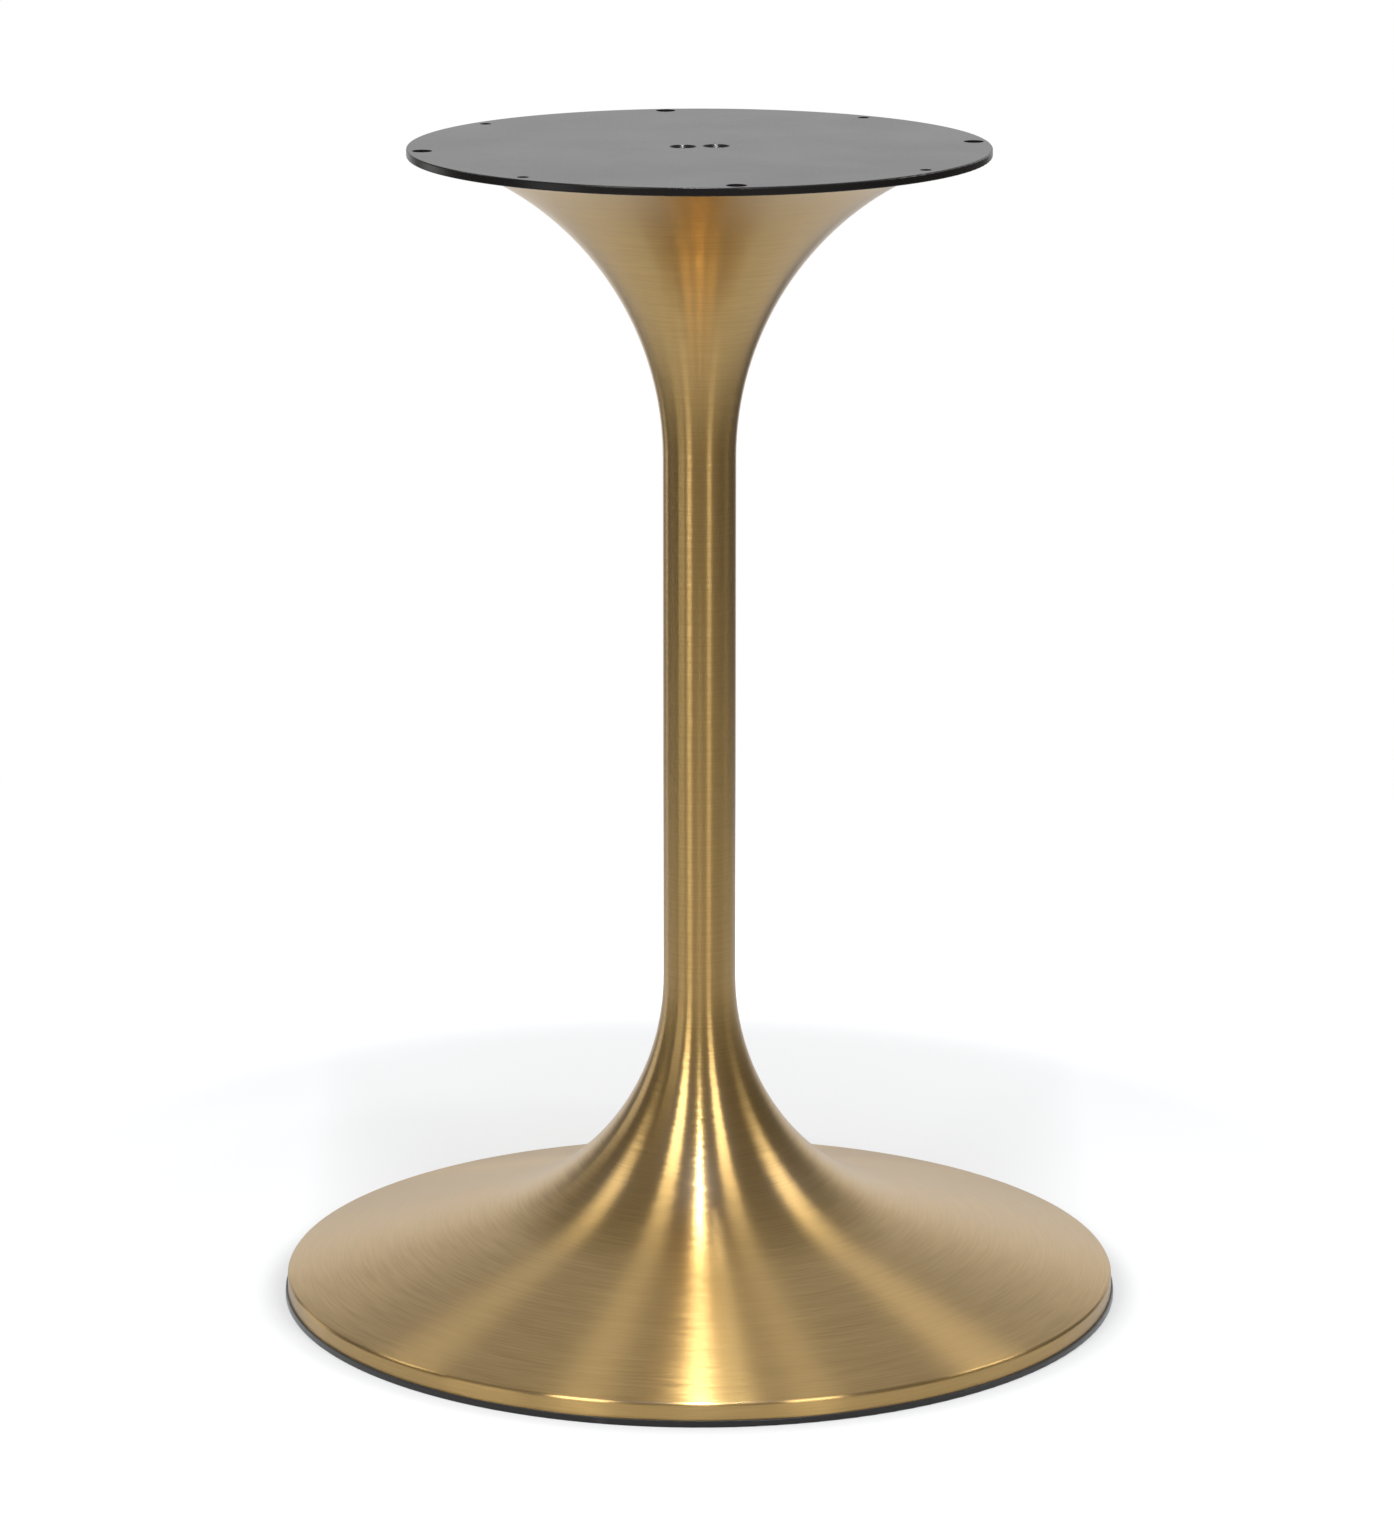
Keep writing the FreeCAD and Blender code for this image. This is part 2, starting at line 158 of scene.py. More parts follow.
class ScrewSizes(bpy.types.PropertyGroup):
    """The two countersunk screws that hold the plate."""

    spacing: bpy.props.FloatProperty(
        name="Spacing",
        description="Between the two screws",
        default=20 * MM,
        unit="LENGTH",
    )
    head_top: bpy.props.FloatProperty(
        name="Head height",
        description="Floor to the top of the heads, below the plate's face",
        default=PLATE_TOP - 1.7 * MM,
        unit="LENGTH",
    )
    head_radius: bpy.props.FloatProperty(
        name="Head radius",
        description="Countersunk head at its top",
        default=6.4 * MM,
        unit="LENGTH",
    )
    thread_radius: bpy.props.FloatProperty(
        name="Thread radius",
        description="Outside of the thread",
        default=4 * MM,
        unit="LENGTH",
    )
    tip: bpy.props.FloatProperty(
        name="Tip height",
        description="Floor to the lower end of the thread",
        default=SCREW_TIP,
        unit="LENGTH",
    )
    tip_chamfer: bpy.props.FloatProperty(
        name="Tip chamfer",
        description="Chamfer at the end of the thread",
        default=1 * MM,
        unit="LENGTH",
    )
    key_width: bpy.props.FloatProperty(
        name="Key width",
        description="Hexagon socket across its flats",
        default=5 * MM,
        unit="LENGTH",
    )
    key_depth: bpy.props.FloatProperty(
        name="Key depth",
        description="Depth of the hexagon socket",
        default=2.6 * MM,
        unit="LENGTH",
    )
    edge_break: bpy.props.FloatProperty(
        name="Edge break",
        description="Rounding of the socket's and the head's edges",
        default=0.2 * MM,
        unit="LENGTH",
    )


def colour_property(name, description, default):
    return bpy.props.FloatVectorProperty(
        name=name,
        description=description,
        default=default,
        subtype="COLOR",
        size=3,
        min=0.0,
        max=1.0,
    )


class FinishColours(bpy.types.PropertyGroup):
    """Colours of the finishes, and how strongly the brass is brushed."""

    brass: colour_property("Brass", "Brushed brass of the pedestal", (0.73, 0.48, 0.172))
    # Painted shade: a darker brass laid along the furrows of the brushing, standing in for the shade in
    # them
    brass_painted_shade: colour_property("Brass in painted shade", "Brass in the furrows of the brushing", (0.67, 0.43, 0.149))
    plate: colour_property("Plate", "Powder coat of the top plate", (0.010, 0.009, 0.009))
    rubber: colour_property("Rubber", "Trim round the foot's edge", (0.009, 0.008, 0.008))
    zinc: colour_property("Zinc", "Plated screws, bolt and washer", (0.72, 0.73, 0.74))
    steel: colour_property("Steel", "Bare steel of the tube and plugs", (0.56, 0.55, 0.53))
    ballast: colour_property("Ballast", "Paint of the ballast disc", (0.022, 0.022, 0.024))
    furrow_slope: bpy.props.FloatProperty(
        name="Furrow slope",
        description="Steepness of the brushed furrows",
        default=0.22,
        min=0.0,
    )
    furrow_sway: bpy.props.FloatProperty(
        name="Furrow sway",
        description="How far the furrows wander from their circles",
        default=0.03,
        min=0.0,
    )


class StudioSettings(bpy.types.PropertyGroup):
    """Camera, floor and light."""

    camera_azimuth: bpy.props.FloatProperty(
        name="Camera azimuth",
        description="Turn of the camera round the object",
        default=math.radians(-7.27),
        subtype="ANGLE",
    )
    camera_distance: bpy.props.FloatProperty(
        name="Camera distance",
        description="From the axis to the camera along the floor",
        default=3.4642,
        unit="LENGTH",
    )
    camera_height: bpy.props.FloatProperty(
        name="Camera height",
        description="Floor to the camera",
        default=1.1855,
        unit="LENGTH",
    )
    camera_tilt: bpy.props.FloatProperty(
        name="Camera tilt",
        description="Camera below the horizontal",
        default=math.radians(13.829),
        subtype="ANGLE",
    )
    camera_lens: bpy.props.FloatProperty(
        name="Camera lens",
        description="Focal length for a 36 mm film side",
        default=136.49,
        subtype="DISTANCE_CAMERA",
    )
    boom_colour: colour_property(
        "Boom colour",
        "Daylight of the two narrow lamps overhead",
        (0.90, 0.95, 1.0),
    )
    room_colour: colour_property(
        "Room colour",
        "What polished metal mirrors of the room",
        (1.0, 0.92, 0.78),
    )
    lamp_level: bpy.props.FloatProperty(
        name="Lamp level",
        description="Factor on all the lamps",
        default=1.0,
        min=0.0,
    )


class Wire:
    """An output socket on which Python's operators add Math nodes."""

    def __init__(self, graph, socket):
        self.graph = graph
        self.socket = socket

    def math(self, operation, *values):
        return self.graph.node("Math", {"operation": operation}, dict(enumerate(values)))

    def __add__(self, other):
        return self.math("ADD", self, other)

    def __sub__(self, other):
        return self.math("SUBTRACT", self, other)

    def __mul__(self, other):
        return self.math("MULTIPLY", self, other)

    def __pow__(self, other):
        return self.math("POWER", self, other)

    def __rsub__(self, other):
        return self.math("SUBTRACT", other, self)

    __radd__ = __add__
    __rmul__ = __mul__


class Graph:
    """The nodes of one material or world, added and joined a call at a time."""

    def __init__(self, owner):
        owner.use_nodes = True
        self.tree = owner.node_tree
        self.tree.nodes.clear()

    def node(self, kind, settings=None, sockets=None, output=0):
        made = self.tree.nodes.new("ShaderNode" + kind)
        for key, value in (settings or {}).items():
            setattr(made, key, value)
        for key, value in (sockets or {}).items():
            if isinstance(value, Wire):
                self.tree.links.new(value.socket, made.inputs[key])
            else:
                made.inputs[key].default_value = value
        return Wire(self, made.outputs[output]) if made.outputs else None

    def vector(self, operation, *values):
        """A Vector Math node; the result of a dot product is a number."""
        output = "Value" if operation == "DOT_PRODUCT" else "Vector"
        return self.node("VectorMath", {"operation": operation}, dict(enumerate(values)), output)

    def scale(self, vector, factor):
        return self.node("VectorMath", {"operation": "SCALE"}, {0: vector, "Scale": factor})

    def mix(self, factor, first, second):
        """One colour fading into another."""
        return self.node("Mix", {"data_type": "RGBA"}, {0: factor, 6: first, 7: second}, 2)

    def fade(self, value, low, high, start=0.0, end=1.0):
        """A number eased from start to end as value goes from low to high."""
        sockets = {"Value": value, "From Min": low, "From Max": high, "To Min": start, "To Max": end}
        return self.node("MapRange", {"interpolation_type": "SMOOTHSTEP"}, sockets)

    def place(self):
        """Object coordinates."""
        return self.node("TexCoord", output="Object")

    def parts(self, vector):
        """A vector's x, y and z."""
        return [self.node("SeparateXYZ", None, {0: vector}, axis) for axis in "XYZ"]

    def noise(self, point, scale, detail):
        return self.node("TexNoise", None, {"Vector": point, "Scale": scale, "Detail": detail}, "Fac")

    def rings(self, point, width, length, detail):
        """Noise drawn out round the axis into strands of this width and length."""
        x, y, z = self.parts(point)
        radius = (x * x + y * y) ** 0.5
        along = 1.0 / length
        across = 1.0 / width
        stretched = self.node("CombineXYZ", None, {0: x * along, 1: y * along, 2: radius * across})
        sockets = {"Vector": stretched, "W": z * across, "Scale": 1.0, "Detail": detail}
        return self.node("TexNoise", {"noise_dimensions": "4D"}, sockets, "Fac")

    def bump(self, height, distance):
        return self.node("Bump", None, {"Height": height, "Distance": distance})


def opaque(colour):
    return (*colour, 1.0)


def tint(colour, factor, lift=0.0):
    """A colour made paler or deeper by a factor, and lifted."""
    return opaque(factor * part + lift for part in colour)


def start_finish(name):
    finish = bpy.data.materials.new(name)
    return finish, Graph(finish)


def close_finish(graph, sockets):
    shader = graph.node("BsdfPrincipled", None, sockets)
    graph.node("OutputMaterial", None, {"Surface": shader})


def brass_finish(colours):
    """Lacquered brass, brushed in furrows that run round the axis, with painted shade along the furrows.
    """
    finish, graph = start_finish("Brushed brass")
    point = graph.place()
    threads = graph.rings(point, width=1.0 * MM, length=32 * MM, detail=1.0)
    sway = graph.rings(point, width=1.5 * MM, length=20 * MM, detail=0.0)
    cloud = graph.noise(point, scale=9.0, detail=3.0)
    normal = graph.node("NewGeometry", output="Normal")
    around = graph.vector("NORMALIZE", graph.vector("CROSS_PRODUCT", UP, point))
    up_slope = graph.vector("CROSS_PRODUCT", normal, around)
    lean_up = graph.scale(up_slope, (threads - NOISE_MIDDLE) * colours.furrow_slope)
    lean_aside = graph.scale(around, (sway - NOISE_MIDDLE) * colours.furrow_sway)
    lean = graph.vector("ADD", lean_up, lean_aside)
    brushed = graph.vector("NORMALIZE", graph.vector("ADD", normal, lean))
    # Painted shade: the brass is darker along the brush threads, standing in for the shade in the
    # furrows; the lean of the normal above is the real brushing
    shade = graph.fade(threads, *NOISE_SPAN)
    tone = graph.mix(shade, opaque(colours.brass_painted_shade), opaque(colours.brass))
    close_finish(
        graph,
        {
            "Base Color": tone,
            "Metallic": 1.0,
            # Where this falls below about 0.274, denoising leaves fine lines in the metal
            "Roughness": graph.fade(cloud, *NOISE_SPAN, start=0.275, end=0.283),
            "Anisotropic": 1.0,
            "Anisotropic Rotation": 0.25,
            "Normal": brushed,
            "Coat Weight": 0.8,
            "Coat Roughness": 0.35,
        },
    )
    return finish


def powder_finish(name, colour, grain, depth, gloss, shine=0.5):
    """Powder coat: an orange-peel skin with a little dust in its gloss."""
    finish, graph = start_finish(name)
    point = graph.place()
    peel = graph.noise(point, scale=1.0 / grain, detail=2.0)
    cloud = graph.noise(point, scale=14.0, detail=3.0)
    dust = graph.fade(graph.noise(point, scale=900.0, detail=1.0), low=0.72, high=0.80)
    pale = tint(colour, factor=3.0, lift=0.02)
    gloss_spread = 0.01
    dust_cover = 0.5
    dust_dulling = 0.1
    skin = graph.fade(cloud, *NOISE_SPAN, start=gloss - gloss_spread, end=gloss + gloss_spread)
    close_finish(
        graph,
        {
            "Base Color": graph.mix(dust * dust_cover, opaque(colour), pale),
            "Roughness": skin + dust * dust_dulling,
            "Specular IOR Level": shine,
            "Normal": graph.bump(peel, depth),
        },
    )
    return finish


def rubber_finish(colours):
    """Extruded rubber: fine grain, drawn lines round the foot and a few pale scuffs."""
    finish, graph = start_finish("Black rubber")
    point = graph.place()
    grain = graph.noise(point, scale=2500.0, detail=2.0)
    drawn = graph.rings(point, width=MM / 1.5, length=50 * MM, detail=1.0)
    scuff = graph.fade(graph.noise(point, scale=60.0, detail=4.0), low=0.60, high=0.75)
    pale = tint(colours.rubber, factor=2.5)
    grain_share = 0.5
    close_finish(
        graph,
        {
            "Base Color": graph.mix(scuff, opaque(colours.rubber), pale),
            "Roughness": graph.fade(drawn, *NOISE_SPAN, start=0.30, end=0.40),
            "Specular IOR Level": 0.5,
            "Sheen Weight": 0.5,
            "Sheen Roughness": 0.4,
            "Normal": graph.bump(grain * grain_share + drawn, distance=0.05 * MM),
        },
    )
    return finish


def zinc_finish(colours):
    """Bright zinc plate with a faint spangle."""
    finish, graph = start_finish("Bright zinc")
    point = graph.place()
    spangle = graph.node("TexVoronoi", None, {"Vector": point, "Scale": 700.0}, "Color")
    level = graph.vector("DOT_PRODUCT", spangle, COLOUR_MEAN)
    worn = graph.noise(point, scale=260.0, detail=3.0)
    dull = tint(colours.zinc, factor=0.72)
    close_finish(
        graph,
        {
            "Base Color": graph.mix(level, dull, opaque(colours.zinc)),
            "Metallic": 1.0,
            "Roughness": graph.fade(worn, *NOISE_SPAN, start=0.28, end=0.42),
            "Normal": graph.bump(worn, distance=0.04 * MM),
        },
    )
    return finish


def steel_finish(colours):
    """Bare turned and drawn steel with fine marks round the axis."""
    finish, graph = start_finish("Bare steel")
    point = graph.place()
    marks = graph.rings(point, width=MM / 1.8, length=25 * MM, detail=1.0)
    stain = graph.fade(graph.noise(point, scale=30.0, detail=4.0), low=0.4, high=0.7)
    dull = tint(colours.steel, factor=0.6)
    close_finish(
        graph,
        {
            "Base Color": graph.mix(stain, opaque(colours.steel), dull),
            "Metallic": 1.0,
            "Roughness": graph.fade(marks, *NOISE_SPAN, start=0.30, end=0.46),
            "Normal": graph.bump(marks, distance=0.03 * MM),
        },
    )
    return finish


def dress(node, finish):
    """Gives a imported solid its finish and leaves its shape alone."""
    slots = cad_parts[node].data.materials
    slots.clear()
    slots.append(finish)


def vertex_brush(radius, height):
    """A new mesh in edit mode, cut down to the one vertex from which an outline is drawn."""
    bpy.ops.object.select_all(action="DESELECT")
    bpy.ops.mesh.primitive_plane_add(size=MM)
    bpy.ops.object.mode_set(mode="EDIT")
    bpy.ops.mesh.select_all(action="SELECT")
    bpy.ops.mesh.merge(type="CENTER")
    bpy.ops.transform.translate(value=(radius, 0.0, height))


def run(radius, height, steps):
    """Extrudes what is selected by this much out and up, in equal steps."""
    for _ in range(steps):
        step = (radius / steps, 0.0, height / steps)
        bpy.ops.mesh.extrude_region_move(TRANSFORM_OT_translate={"value": step})


def sweep(radius, height, angle, steps):
    """Draws an arc of the outline about a centre; a positive angle turns outwards to upwards."""
    centre = (radius, 0.0, height)
    bpy.ops.mesh.spin(steps=steps, angle=angle, center=centre, axis=(0.0, 1.0, 0.0))


class OBJECT_OT_tulip_pedestal(bpy.types.Operator):
    """Spin the pedestal from its outline and brush it"""

    bl_idname = "object.tulip_pedestal"
    bl_label = "Pedestal"

    def draw_outline(self, sizes):
        slope = sizes.foot_slope
        bend = sizes.rim_bend
        low = sizes.foot_flare
        high = sizes.mouth_flare
        quarter = math.pi / 2 - slope
        cone_low = Vector(
            (
                sizes.foot_radius - bend + bend * math.sin(slope),
                sizes.rim_height + bend * math.cos(slope),
            )
        )
        cone_out = sizes.stem_radius + low * (1 - math.sin(slope))
        cone_up = cone_low.y + (cone_low.x - cone_out) * math.tan(slope)
        stem_low = cone_up + low * math.cos(slope)
        turn = math.acos(1 - (sizes.mouth_radius - sizes.stem_radius) / high)
        stem_high = sizes.mouth_height - high * math.sin(turn)
        past_mouth = 1.02
        vertex_brush(sizes.foot_radius, sizes.skirt_bottom)
        run(0.0, sizes.rim_height - sizes.skirt_bottom, steps=3)
        sweep(sizes.foot_radius - bend, sizes.rim_height, quarter, steps=8)
        run(cone_out - cone_low.x, cone_up - cone_low.y, steps=14)
        sweep(sizes.stem_radius + low, stem_low, -quarter, steps=36)
        run(0.0, stem_high - stem_low, steps=12)
        sweep(sizes.stem_radius + high, stem_high, -turn * past_mouth, steps=36)

    def execute(self, context):
        sizes = context.scene.tulip_sizes
        self.draw_outline(sizes)
        bpy.ops.mesh.select_all(action="SELECT")
        bpy.ops.mesh.spin(steps=sizes.turns, angle=2 * math.pi, center=(0, 0, 0), axis=UP)
        bpy.ops.mesh.select_all(action="SELECT")
        bpy.ops.mesh.remove_doubles(threshold=WELD_DISTANCE)
        bpy.ops.mesh.normals_make_consistent(inside=False)
        bpy.ops.object.mode_set(mode="OBJECT")
        pedestal = context.object
        pedestal.name = "pedestal"
        pedestal.data.name = "pedestal"
        self.face_outwards(pedestal)
        self.thicken(pedestal, sizes)
        bpy.ops.object.shade_smooth_by_angle(angle=SHELL_SMOOTH_ANGLE)
        pedestal.data.materials.append(brass_finish(context.scene.tulip_colours))
        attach(pedestal, "root")
        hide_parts("pedestal_shell")
        return {"FINISHED"}

    def face_outwards(self, pedestal):
        """Turns the open sheet's faces away from the axis, judged on its upright faces."""
        upright = [face for face in pedestal.data.polygons if abs(face.normal.z) < UPRIGHT_NORMAL]
        inward = [face for face in upright if face.normal.xy.dot(face.center.xy) < 0]
        if not inward:
            return
        if len(inward) < len(upright):
            raise RuntimeError("the pedestal's faces point both ways")
        bpy.ops.object.mode_set(mode="EDIT")
        bpy.ops.mesh.flip_normals()
        bpy.ops.object.mode_set(mode="OBJECT")

    def thicken(self, pedestal, sizes):
        """Gives the sheet its wall, and trims the mouth flat under the plate."""
        wall = pedestal.modifiers.new("Wall", "SOLIDIFY")
        wall.thickness = sizes.wall
        wall.offset = -1.0
        wall.use_even_offset = True
        bpy.ops.object.modifier_apply(modifier=wall.name)
        bpy.ops.object.mode_set(mode="EDIT")
        bpy.ops.mesh.select_all(action="SELECT")
        bpy.ops.mesh.bisect(plane_co=(0, 0, sizes.mouth_height), plane_no=UP, clear_outer=True)
        bpy.ops.mesh.select_all(action="DESELECT")
        bpy.ops.mesh.select_mode(type="EDGE")
        bpy.ops.mesh.select_non_manifold(
            use_wire=False,
            use_multi_face=False,
            use_non_contiguous=False,
            use_verts=False,
        )
        bpy.ops.mesh.bridge_edge_loops()
        bpy.ops.object.mode_set(mode="OBJECT")


class OBJECT_OT_tulip_plate(bpy.types.Operator):
    """Powder coat the top plate"""

    bl_idname = "object.tulip_plate"
    bl_label = "Top plate"

    def execute(self, context):
        colours = context.scene.tulip_colours
        coat = powder_finish(
            "Black powder coat",
            colours.plate,
            grain=0.7 * MM,
            depth=0.015 * MM,
            gloss=0.25,
            shine=0.38,
        )
        dress("top_plate", coat)
        return {"FINISHED"}


class OBJECT_OT_tulip_trim(bpy.types.Operator):
    """Finish the rubber trim round the foot"""

    bl_idname = "object.tulip_trim"
    bl_label = "Rubber trim"

    def execute(self, context):
        dress("edge_trim", rubber_finish(context.scene.tulip_colours))
        return {"FINISHED"}


class OBJECT_OT_tulip_screws(bpy.types.Operator):
    """Model the two countersunk screws, seated deep in the plate"""

    bl_idname = "object.tulip_screws"
    bl_label = "Plate screws"

    def execute(self, context):
        sizes = context.scene.tulip_screws
        left = self.turn_screw(context, sizes)
        left.name = "plate_screw_left"
        left.data.materials.append(zinc_finish(context.scene.tulip_colours))
        bpy.ops.object.duplicate()
        right = context.object
        right.name = "plate_screw_right"
        bpy.ops.transform.translate(value=(sizes.spacing, 0.0, 0.0))
        bpy.ops.object.transform_apply()
        for screw in (left, right):
            screw.data.name = screw.name
            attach(screw, "root")
            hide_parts("plate_screws")
        return {"FINISHED"}

    def turn_screw(self, context, sizes):
        """The left screw: head cone, shank with a chamfered end, and a hexagon socket."""
        middle = -sizes.spacing / 2
        cone = sizes.head_radius - sizes.thread_radius
        neck = sizes.head_top - cone
        bpy.ops.object.select_all(action="DESELECT")
        bpy.ops.mesh.primitive_cone_add(
            vertices=48,
            radius1=sizes.thread_radius,
            radius2=sizes.head_radius,
            depth=cone,
            location=(middle, 0.0, neck + cone / 2),
        )
        screw = context.object
        bpy.ops.object.transform_apply()
        bpy.ops.object.mode_set(mode="EDIT")
        bpy.ops.mesh.select_mode(type="FACE")
        bpy.ops.mesh.select_all(action="DESELECT")
        bpy.ops.object.mode_set(mode="OBJECT")
        for face in screw.data.polygons:
            face.select = face.normal.z < DOWN_NORMAL
        bpy.ops.object.mode_set(mode="EDIT")
        run(0.0, sizes.tip + sizes.tip_chamfer - neck, steps=1)
        run(0.0, -sizes.tip_chamfer, steps=1)
        narrow = 1 - sizes.tip_chamfer / sizes.thread_radius
        bpy.ops.transform.resize(value=(narrow, narrow, 1.0), center_override=(middle, 0.0, sizes.tip))
        bpy.ops.object.mode_set(mode="OBJECT")
        self.cut_socket(context, screw, sizes, middle)
        bpy.ops.object.shade_smooth_by_angle(angle=SCREW_SMOOTH_ANGLE)
        return screw

    def cut_socket(self, context, screw, sizes, middle):
        """Sinks the hexagon socket into the head and breaks the sharp edges."""
        bpy.ops.object.select_all(action="DESELECT")
        bpy.ops.mesh.primitive_cylinder_add(
            vertices=6,
            radius=sizes.key_width / math.sqrt(3),
            depth=2 * sizes.key_depth,
            location=(middle, 0.0, sizes.head_top),
        )
        key = context.object
        bpy.ops.object.transform_apply()
        context.view_layer.objects.active = screw
        socket = screw.modifiers.new("Socket", "BOOLEAN")
        socket.operation = "DIFFERENCE"
        socket.object = key
        edges = screw.modifiers.new("Edges", "BEVEL")
        edges.width = sizes.edge_break
        edges.segments = 2
        edges.limit_method = "ANGLE"
        edges.angle_limit = SCREW_BREAK_ANGLE
        bpy.ops.object.modifier_apply(modifier=socket.name)
        bpy.ops.object.modifier_apply(modifier=edges.name)
        bpy.data.objects.remove(key)
        screw.select_set(True)


class OBJECT_OT_tulip_fixings(bpy.types.Operator):
    """Zinc plate the ballast bolt and its washer"""

    bl_idname = "object.tulip_fixings"
    bl_label = "Ballast bolt and washer"

    def execute(self, context):
        finish = zinc_finish(context.scene.tulip_colours)
        for node in ("ballast_bolt", "ballast_washer"):
            dress(node, finish)
        return {"FINISHED"}


class OBJECT_OT_tulip_core(bpy.types.Operator):
    """Finish the tube, the plugs and the ballast disc inside the pedestal"""

    bl_idname = "object.tulip_core"
    bl_label = "Core and ballast"

    def execute(self, context):
        colours = context.scene.tulip_colours
        steel = steel_finish(colours)
        for node in ("core_tube", "upper_plug", "lower_plug"):
            dress(node, steel)
        paint = powder_finish(
            "Black ballast paint",
            colours.ballast,
            grain=2.5 * MM,
            depth=0.25 * MM,
            gloss=0.55,
        )
        dress("ballast_disc", paint)
        return {"FINISHED"}


# Camera
FILM_SIDE = 36.0
CLIP_END = 100.0
CAMERA_LEFT = 1.5 * MM

# Floor, in metres: the rings round the axis over which its parts fade, and how far back two of
# them are centred
FLOOR_SIZE = 60.0
LIT_RING = (0.82, 1.25)
LIT_BACK = 0.18
POOL_RING = (0.35, 0.75)
SHADOW_RING = (0.42, 0.66)
SHADOW_BACK = 0.12
# The painted shadow: a thin ring just outside the foot, darkened for the camera
PAINTED_SHADOW_RING = (0.256, 0.284)
# The painted glow: a disc under the foot that glows to mirrored and bounced rays and lights the foot's
# underside
PAINTED_GLOW_RING = (0.245, 0.262)

# Floor: its reflectance in the pool of light, the depth of the painted shadow at the foot's edge, and how
# bright it is to mirrored and to bounced rays, with a painted glow under the foot
POOL_WHITE = (0.53, 0.70)
PAINTED_SHADOW_DEPTH = 0.17
FLOOR_DIM = (0.19, 0.06)
FLOOR_SIDE = 0.06
FLOOR_BACKDROP = 0.8
FLOOR_BOUNCED = 0.5
# Painted light: how bright the disc under the foot glows to mirrored and to bounced rays
PAINTED_GLOW_MIRRORED = 0.6
PAINTED_GLOW_BOUNCED = 0.5

# Room that metal mirrors: the spans over which it changes, by the cosine of the angle from straight
# behind the object, and by the rise above the horizon
FRONT_SPAN = (-1.0, -0.2)
SIDE_SPAN = (0.1, 0.7)
TINT_SPAN = (0.5, 0.9)
FLOOR_BACKDROP_SPAN = (0.82, 1.0)
WALL_BACKDROP_SPAN = (0.76, 0.97)
WALL_CORE_SPAN = (0.985, 0.998)
RISE_SPAN = (0.05, 0.65)
FLOOR_TURN = math.radians(3)
WALL_TURN = math.radians(-2)

# Room: how bright it is in front, behind, overhead and to bounced rays
WALL_DIM = (0.17, 0.06)
WALL_BACKDROP = 0.71
WALL_CORE = 0.10
CEILING = 0.165
BACKDROP_OVERHEAD = 0.44
ROOM_BOUNCED = 0.4
WHITE = (1.0, 1.0, 1.0)


class Lamp(NamedTuple):
    """An area lamp: angles in degrees, the azimuth from the camera's side, and sizes in metres."""

    azimuth: float
    elevation: float
    distance: float
    width: float
    height: float
    roll: float
    radiance: float


LAMPS = {
    "boom": Lamp(0, 76, 2.2, 0.03, 1.10, 0, 205.0),
    "boom_right": Lamp(41, 80, 2.2, 0.03, 0.10, 0, 274.0),
    "key_left": Lamp(-35.5, 40, 2.5, 0.52, 1.90, 14, 4.5),
    "key_right": Lamp(34.5, 40, 2.5, 0.48, 1.90, -14, 3.6),
    "rear_left": Lamp(-111, 44, 2.5, 0.55, 0.55, 0, 3.1),
    "rear_right": Lamp(112, 44, 2.5, 0.60, 0.60, 0, 4.1),
    "side_left": Lamp(-58, 4, 2.6, 0.95, 1.20, 0, 0.8),
    "back_left": Lamp(-125, 4, 2.6, 0.80, 1.20, 0, 0.8),
}
LAMP_AIM = Vector((0.0, 0.0, 0.1))


